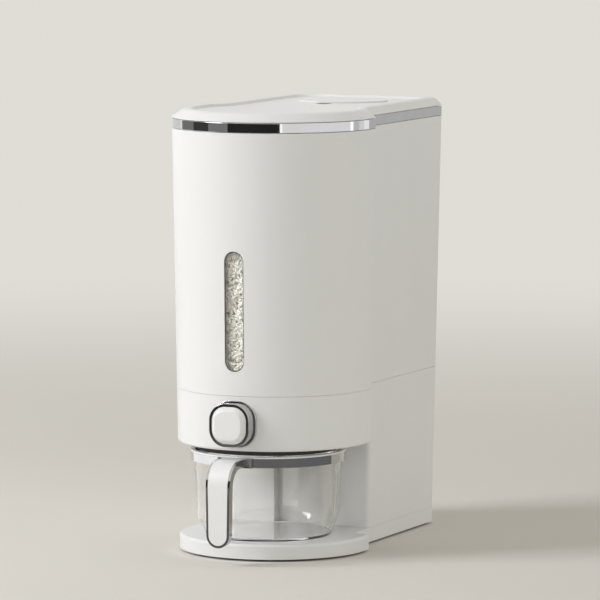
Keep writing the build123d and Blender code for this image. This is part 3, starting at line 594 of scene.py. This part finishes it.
@dataclass
class RiceFill:
    """Rice in the bin: a heap on the sloping floor, with loose grains at the window and on top."""

    grain_length: float = 5.6 * MM
    grain_width: float = 2.3 * MM
    grain_height: float = 1.9 * MM
    grain_sizes: tuple[float, float] = (0.86, 1.08)
    grain_segments: int = 7
    grain_rings: int = 6
    start_radius: float = 0.5
    tip_start: float = 0.3
    tip_share: float = 0.55
    wall_lean: float = math.radians(0.95)
    pane_back: float = 5.1 * MM
    pane_margin: float = 1.0 * MM
    layer_gap: float = 1.2 * MM
    layer_step: float = 1.3 * MM
    layers: int = 3
    grains_per_layer: int = 430
    press_tilt: float = 0.35
    heap_sides: int = 96
    heap_inset: float = 10.5 * MM
    heap_level: float = 300 * MM
    heap_shoulder: float = 15 * MM
    back_inset: float = 3.0 * MM
    rear_flare: tuple[float, float] = (1.09, 1.045)
    rear_share: float = 0.76
    floor_slope: float = math.radians(24)
    floor_gap: float = 2.0 * MM
    trough_level: float = 138.6 * MM
    trough_half_width: float = 24 * MM
    trough_front: float = 32.7 * MM
    trough_back: float = 3.9 * MM
    heap_voxel: float = 4.0 * MM
    ripple_size: float = 0.05
    ripple_depth: float = 6 * MM
    ripple_middle: float = 0.5
    top_grains: int = 1700
    top_tilt: float = 0.5
    top_steepness: float = 0.5
    drop_height: float = 1.0
    seed: int = 12
    draw: random.Random = field(init=False)

    def __post_init__(self) -> None:
        """Read the places that the rice follows from the frame."""
        self.draw = random.Random(self.seed)
        band_low, band_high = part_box("chrome_band")
        self.nose = band_high.x
        self.centre_y = band_low.y + self.nose
        self.band_top = band_high.z
        hopper_low, hopper_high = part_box("hopper")
        self.half_width = hopper_high.x
        self.rear_y = hopper_high.y
        self.pane_low, self.pane_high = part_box("window_pane")

    def wall_radius(self, height: float) -> float:
        """Return the outer radius of the half-round wall at a height."""
        return self.nose - math.tan(self.wall_lean) * (self.band_top - height)

    def model_grain(self) -> bpy.types.Object:
        """Model one grain, lying along X: an oval with one blunt end and one drawn-out end.

        Returns:
            The grain at the origin.
        """
        Bench.clear()
        bpy.ops.mesh.primitive_uv_sphere_add(segments=self.grain_segments, ring_count=self.grain_rings,
                                             radius=self.start_radius)
        grain = bpy.context.object
        grain.rotation_euler.y = math.pi / 2
        Bench.settle(grain)
        bpy.ops.object.mode_set(mode="EDIT")
        bpy.ops.mesh.select_all(action="DESELECT")
        bpy.ops.object.mode_set(mode="OBJECT")
        for vertex in grain.data.vertices:
            vertex.select = vertex.co.x > self.tip_start
        bpy.ops.object.mode_set(mode="EDIT")
        bpy.ops.transform.resize(value=(1, self.tip_share, self.tip_share))
        bpy.ops.object.mode_set(mode="OBJECT")
        grain.scale = (self.grain_length, self.grain_width, self.grain_height)
        Bench.settle(grain)
        bpy.ops.object.shade_smooth()
        return grain

    def scatter(self, grain: bpy.types.Object, places: list[Matrix]) -> bpy.types.Object:
        """Copy the grain to many places and join the copies.

        Args:
            grain: The modelled grain.
            places: Where each copy goes.

        Returns:
            One object that holds all the copies.
        """
        copies = []
        for place in places:
            copy = grain.copy()
            copy.data = grain.data.copy()
            copy.data.transform(place)
            bpy.context.collection.objects.link(copy)
            copies.append(copy)
        Bench.pick(*copies)
        bpy.ops.object.join()
        return copies[0]

    def lying(self, point: Vector, normal: Vector, tilt: float) -> Matrix:
        """Turn and place a grain that lies on a surface.

        Args:
            point: Middle of the grain.
            normal: Direction out of the surface.
            tilt: Most that the grain tips out of the surface, in radians.

        Returns:
            The grain's transform.
        """
        lay = normal.to_track_quat("Z", "Y").to_matrix().to_4x4()
        spin = Matrix.Rotation(self.draw.uniform(-math.pi, math.pi), 4, "Z")
        tip = Matrix.Rotation(self.draw.uniform(-tilt, tilt), 4, "Y")
        size = Matrix.Scale(self.draw.uniform(*self.grain_sizes), 4)
        return Matrix.Translation(point) @ lay @ spin @ tip @ size

    def window_places(self) -> list[Matrix]:
        """Return the places of the grains that press against the window's pane."""
        reach = self.pane_high.x - self.pane_margin
        places = []
        for layer in range(self.layers):
            depth = self.pane_back + self.layer_gap + layer * self.layer_step
            for _ in range(self.grains_per_layer):
                across = self.draw.uniform(-reach, reach)
                height = self.draw.uniform(self.pane_low.z, self.pane_high.z)
                radius = self.wall_radius(height) - depth - self.draw.uniform(0, self.layer_step)
                along = math.sqrt(radius**2 - across**2)
                point = Vector((across, self.centre_y - along, height))
                normal = Vector((across, -along, 0)).normalized()
                places.append(self.lying(point, normal, self.press_tilt))
        return places

    def model_heap(self) -> bpy.types.Object:
        """Model the heap: a half-round front joined to a flared box, cut to the floor and rippled on top.

        Returns:
            The heap.
        """
        low = self.trough_level + self.floor_gap
        height = self.heap_level - low
        middle = low + height / 2
        Bench.clear()
        bpy.ops.mesh.primitive_cone_add(vertices=self.heap_sides,
                                        radius1=self.wall_radius(low) - self.heap_inset,
                                        radius2=self.wall_radius(self.heap_level) - self.heap_inset,
                                        depth=height, location=(0, self.centre_y, middle))
        heap = bpy.context.object
        Bench.settle(heap)
        Bench.cut(heap, Vector((0, self.centre_y + self.heap_shoulder, 0)), Vector((0, -1, 0)))
        side = self.half_width * self.rear_share
        back = self.rear_y - self.back_inset
        Bench.clear()
        bpy.ops.mesh.primitive_cube_add(size=1, location=(0, (back + self.centre_y) / 2, middle))
        box = bpy.context.object
        box.scale = (2 * side, back - self.centre_y, height)
        Bench.settle(box)
        self.flare(box, middle)
        Bench.modify(heap, "BOOLEAN", operation="UNION", object=box, solver="EXACT")
        bpy.data.objects.remove(box)
        self.cut_floor(heap, low)
        self.ripple(heap)
        return heap

    def flare(self, box: bpy.types.Object, middle: float) -> None:
        """Widen the top of the box as the bin's walls widen.

        Args:
            box: Rear part of the heap.
            middle: Height that parts its top from its foot.
        """
        Bench.pick(box)
        bpy.ops.object.mode_set(mode="EDIT")
        bpy.ops.mesh.select_all(action="DESELECT")
        bpy.ops.object.mode_set(mode="OBJECT")
        for vertex in box.data.vertices:
            vertex.select = vertex.co.z > middle
        bpy.ops.object.mode_set(mode="EDIT")
        bpy.ops.transform.resize(value=(*self.rear_flare, 1))
        bpy.ops.object.mode_set(mode="OBJECT")

    def cut_floor(self, heap: bpy.types.Object, low: float) -> None:
        """Cut the heap along the four slopes of the floor.

        Args:
            heap: Heap with upright sides.
            low: Height of the trough's foot.
        """
        fall = math.tan(self.floor_slope)
        front = Vector((0, self.centre_y - self.trough_front, low))
        rear = Vector((0, self.centre_y + self.trough_back, low))
        right = Vector((self.trough_half_width, 0, low))
        left = Vector((-self.trough_half_width, 0, low))
        Bench.cut(heap, front, Vector((0, fall, 1)))
        Bench.cut(heap, rear, Vector((0, -fall, 1)))
        Bench.cut(heap, right, Vector((-fall, 0, 1)))
        Bench.cut(heap, left, Vector((fall, 0, 1)))

    def ripple(self, heap: bpy.types.Object) -> None:
        """Give the heap an even mesh and an uneven top.

        Args:
            heap: Heap with a flat top.
        """
        Bench.modify(heap, "REMESH", mode="VOXEL", voxel_size=self.heap_voxel)
        group = heap.vertex_groups.new(name="top")
        level = self.heap_level - self.heap_voxel
        group.add([v.index for v in heap.data.vertices if v.co.z > level], 1.0, "REPLACE")
        clouds = bpy.data.textures.new("rice_ripple", "CLOUDS")
        clouds.noise_scale = self.ripple_size
        Bench.modify(heap, "DISPLACE", texture=clouds, direction="Z", strength=self.ripple_depth,
                     vertex_group="top", mid_level=self.ripple_middle)
        Bench.pick(heap)
        bpy.ops.object.shade_smooth()

    def top_places(self, heap: bpy.types.Object) -> list[Matrix]:
        """Return the places of the loose grains on the heap.

        Args:
            heap: Finished heap.

        Returns:
            Places of the grains.
        """
        down = Vector((0, 0, -1))
        reach = self.nose - self.heap_inset
        places = []
        while len(places) < self.top_grains:
            across = self.draw.uniform(-reach, reach)
            along = self.draw.uniform(self.centre_y - reach, self.rear_y - self.back_inset)
            hit, point, normal, _ = heap.ray_cast(Vector((across, along, self.drop_height)), down)
            if hit and normal.z > self.top_steepness:
                places.append(self.lying(point, normal, self.top_tilt))
        return places

    def build(self, rack: FinishRack) -> None:
        """Fill the bin.

        Args:
            rack: Materials to take from.
        """
        grain = self.model_grain()
        heap = self.model_heap()
        loose = {
            "rice_at_window": self.scatter(grain, self.window_places()),
            "rice_on_heap": self.scatter(grain, self.top_places(heap)),
        }
        bpy.data.objects.remove(grain)
        for name, piece in loose.items():
            rack.coat(piece, Finish.RICE)
            Bench.keep(piece, name, Body.HOUSING)
        rack.coat(heap, Finish.HEAP)
        Bench.keep(heap, "rice_heap", Body.HOUSING)


@dataclass(frozen=True)
class Card:
    """Glowing card that only reflections see, between two azimuths in degrees and two radii and heights."""

    start: float
    end: float
    glow: float
    near: float = 2.4
    far: float = 2.4
    low: float = 0.0
    high: float = 1.1
    cuts: int = 24

    def build(self, name: str) -> None:
        """Bend a plane round the object and let it glow.

        Args:
            name: Name of the card.
        """
        Bench.clear()
        bpy.ops.mesh.primitive_plane_add(size=1)
        card = bpy.context.object
        card.name = name
        bpy.ops.object.mode_set(mode="EDIT")
        bpy.ops.mesh.subdivide(number_cuts=self.cuts)
        bpy.ops.object.mode_set(mode="OBJECT")
        for vertex in card.data.vertices:
            azimuth = self.start + (self.end - self.start) * (vertex.co.x + 0.5)
            rise = vertex.co.y + 0.5
            reach = self.near + (self.far - self.near) * rise
            vertex.co = around(azimuth, reach, self.low + (self.high - self.low) * rise)
        board = NodeBoard(name)
        board.plain(Base_Color=(0, 0, 0, 1), Roughness=1.0, Specular_IOR_Level=0.0,
                    Emission_Color=(1, 1, 1, 1), Emission_Strength=self.glow)
        card.data.materials.append(board.material)
        card.visible_camera = False
        card.visible_diffuse = False
        card.visible_shadow = False
        card.visible_transmission = False


def around(azimuth: float, distance: float, height: float) -> Vector:
    """Return a point round the object, with azimuth 0 in front and positive to the right."""
    turn = math.radians(azimuth)
    return Vector((math.sin(turn) * distance, -math.cos(turn) * distance, height))


@dataclass(frozen=True)
class Lamp:
    """Square soft lamp that points at the object."""

    name: str
    azimuth: float
    elevation: float
    distance: float
    size: float
    power: float
    colour: Colour

    def build(self, target: Vector) -> None:
        """Add the lamp.

        Args:
            target: Point that it looks at.
        """
        rise = math.radians(self.elevation)
        place = around(self.azimuth, self.distance * math.cos(rise), self.distance * math.sin(rise))
        data = bpy.data.lights.new(self.name, "AREA")
        data.size = self.size
        data.energy = self.power
        data.color = self.colour
        lamp = bpy.data.objects.new(self.name, data)
        bpy.context.collection.objects.link(lamp)
        turn = (target - place).to_track_quat("-Z", "Y").to_matrix().to_4x4()
        lamp.matrix_world = Matrix.Translation(place) @ turn


@dataclass
class Studio:
    """Pale floor, soft lamps, cards for the bright trim, and the camera."""

    camera_place: Point = (1.8689, -4.2605, 0.6752)
    camera_target: Point = (-0.0003, 0.0086, 0.2152)
    focal_length_px: float = 5268.4
    image_width_px: float = 600.0
    sensor_width_mm: float = 36.0
    camera_reach: float = 100.0
    floor_radius: float = 30.0
    floor_sides: int = 128
    floor_colour: Colour = (0.8, 0.775, 0.71)
    floor_shade_share: float = 0.985
    floor_roughness: tuple[float, float] = (0.5, 0.6)
    floor_grain: float = 2 * MM
    floor_flow: float = 400 * MM
    backdrop_colour: Colour = (0.74, 0.72, 0.67)
    fade_start: float = 0.35
    fade_end: float = 2.6
    sky_colour: Colour = (0.925, 0.905, 0.87)
    horizon_strength: float = 0.77
    zenith_strength: float = 0.42
    lamps: tuple[Lamp, ...] = (
        Lamp("key", -52.0, 36.0, 2.6, 0.9, 33.0, (0.93, 0.95, 1.0)),
        Lamp("front", -14.0, 3.0, 2.6, 1.2, 6.0, (0.97, 0.98, 1.0)),
        Lamp("fill", 112.0, 4.0, 2.6, 1.6, 8.5, (1.0, 0.97, 0.94)),
    )
    cards: tuple[Card, ...] = (
        Card(-156.0, -105.0, 0.75),
        Card(-104.5, -102.0, 1.3),
        Card(-99.0, -77.0, 0.2),
        Card(-77.0, -54.0, 0.05),
        Card(-54.0, -29.0, 0.22),
        Card(-29.0, 29.0, 0.02),
        Card(29.0, 31.5, 1.3),
        Card(31.5, 116.0, 0.85),
        Card(117.0, 121.0, 1.35),
        Card(121.0, 132.0, 0.6),
        Card(132.0, 142.0, 0.8),
        Card(142.0, 153.0, 1.0),
        Card(153.0, 172.0, 0.5),
        Card(-110.0, -45.0, 1.1, near=0.14, far=1.3, low=CARD_LIFT, high=CARD_LIFT),
        Card(-45.0, 120.0, 0.14, near=0.14, far=0.62, low=CARD_LIFT, high=CARD_LIFT),
        Card(-45.0, 120.0, 0.28, near=0.62, far=0.95, low=CARD_LIFT, high=CARD_LIFT),
        Card(-45.0, 29.0, 0.04, near=0.95, far=2.39, low=CARD_LIFT, high=CARD_LIFT),
    )

    def add_camera(self) -> None:
        """Place the camera where the photograph was taken from."""
        data = bpy.data.cameras.new("camera")
        data.sensor_width = self.sensor_width_mm
        data.lens = self.focal_length_px / self.image_width_px * self.sensor_width_mm
        data.clip_end = self.camera_reach
        camera = bpy.data.objects.new("camera", data)
        bpy.context.collection.objects.link(camera)
        place = Vector(self.camera_place)
        sight = Vector(self.camera_target) - place
        camera.matrix_world = Matrix.Translation(place) @ sight.to_track_quat("-Z", "Y").to_matrix().to_4x4()
        bpy.context.scene.camera = camera

    def add_floor(self) -> None:
        """Lay the pale floor."""
        Bench.clear()
        bpy.ops.mesh.primitive_circle_add(vertices=self.floor_sides, radius=self.floor_radius,
                                          fill_type="NGON")
        floor = bpy.context.object
        floor.name = "floor"
        shade = tuple(self.floor_shade_share * part for part in self.floor_colour)
        finish = MouldedPlastic("pale_floor", self.floor_colour, shade, self.floor_roughness,
                                grain_size=self.floor_grain, flow_size=self.floor_flow)
        floor.data.materials.append(self.fade_out(finish))

    def fade_out(self, finish: MouldedPlastic) -> bpy.types.Material:
        """Let the floor fade into a pale backdrop far from the object, as the camera sees it.

        Args:
            finish: Finish of the floor near the object.

        Returns:
            The floor's material.
        """
        material = finish.make()
        tree = material.node_tree
        shader = tree.nodes["Principled BSDF"]
        shader.inputs["Specular IOR Level"].default_value = 0
        far = tree.nodes.new("ShaderNodeVectorMath")
        far.operation = "LENGTH"
        tree.links.new(tree.nodes.new("ShaderNodeTexCoord").outputs["Object"], far.inputs[0])
        fade = tree.nodes.new("ShaderNodeMapRange")
        fade.interpolation_type = "SMOOTHSTEP"
        fade.inputs["From Min"].default_value = self.fade_start
        fade.inputs["From Max"].default_value = self.fade_end
        tree.links.new(far.outputs["Value"], fade.inputs["Value"])
        seen = tree.nodes.new("ShaderNodeMath")
        seen.operation = "MULTIPLY"
        tree.links.new(fade.outputs["Result"], seen.inputs[0])
        tree.links.new(tree.nodes.new("ShaderNodeLightPath").outputs[Ray.CAMERA.value], seen.inputs[1])
        glow = tree.nodes.new("ShaderNodeEmission")
        glow.inputs["Color"].default_value = (*self.backdrop_colour, 1)
        mix = tree.nodes.new("ShaderNodeMixShader")
        tree.links.new(seen.outputs["Value"], mix.inputs[0])
        tree.links.new(shader.outputs["BSDF"], mix.inputs[1])
        tree.links.new(glow.outputs["Emission"], mix.inputs[2])
        tree.links.new(mix.outputs["Shader"], tree.nodes["Material Output"].inputs["Surface"])
        return material

    def add_sky(self) -> None:
        """Fill the world with an even pale light."""
        world = bpy.data.worlds.new("studio")
        bpy.context.scene.world = world
        world.use_nodes = True
        tree = world.node_tree
        background = tree.nodes["Background"]
        background.inputs["Color"].default_value = (*self.sky_colour, 1)
        path = tree.nodes.new("ShaderNodeLightPath")
        seen = path.outputs[Ray.CAMERA.value]
        for ray in (Ray.GLOSSY, Ray.TRANSMISSION):
            either = tree.nodes.new("ShaderNodeMath")
            either.operation = "MAXIMUM"
            tree.links.new(seen, either.inputs[0])
            tree.links.new(path.outputs[ray.value], either.inputs[1])
            seen = either.outputs[0]
        height = tree.nodes.new("ShaderNodeSeparateXYZ")
        tree.links.new(tree.nodes.new("ShaderNodeTexCoord").outputs["Generated"], height.inputs[0])
        fade = tree.nodes.new("ShaderNodeMapRange")
        fade.inputs["To Min"].default_value = self.horizon_strength
        fade.inputs["To Max"].default_value = self.zenith_strength
        tree.links.new(height.outputs["Z"], fade.inputs["Value"])
        strength = tree.nodes.new("ShaderNodeMapRange")
        tree.links.new(fade.outputs["Result"], strength.inputs["To Min"])
        strength.inputs["To Max"].default_value = 1.0
        tree.links.new(seen, strength.inputs["Value"])
        tree.links.new(strength.outputs["Result"], background.inputs["Strength"])

    def build(self) -> None:
        """Set the whole studio up."""
        bpy.context.scene.view_settings.view_transform = "Standard"
        self.add_camera()
        self.add_floor()
        middle = Vector((0, 0, CAD_BOX[1].z / 2))
        for lamp in self.lamps:
            lamp.build(middle)
        for index, card in enumerate(self.cards):
            card.build(f"card_{index}")
        self.add_sky()


def main() -> None:
    """Dress the frame, add the rice and set up the studio."""
    logging.basicConfig(level=logging.INFO, format="%(message)s")
    rack = FinishRack()
    for dress in dresses():
        dress.dress(rack)
    ReturnSpring().build(rack)
    RiceFill().build(rack)
    Studio().build()


if __name__ == "__main__":
    main()
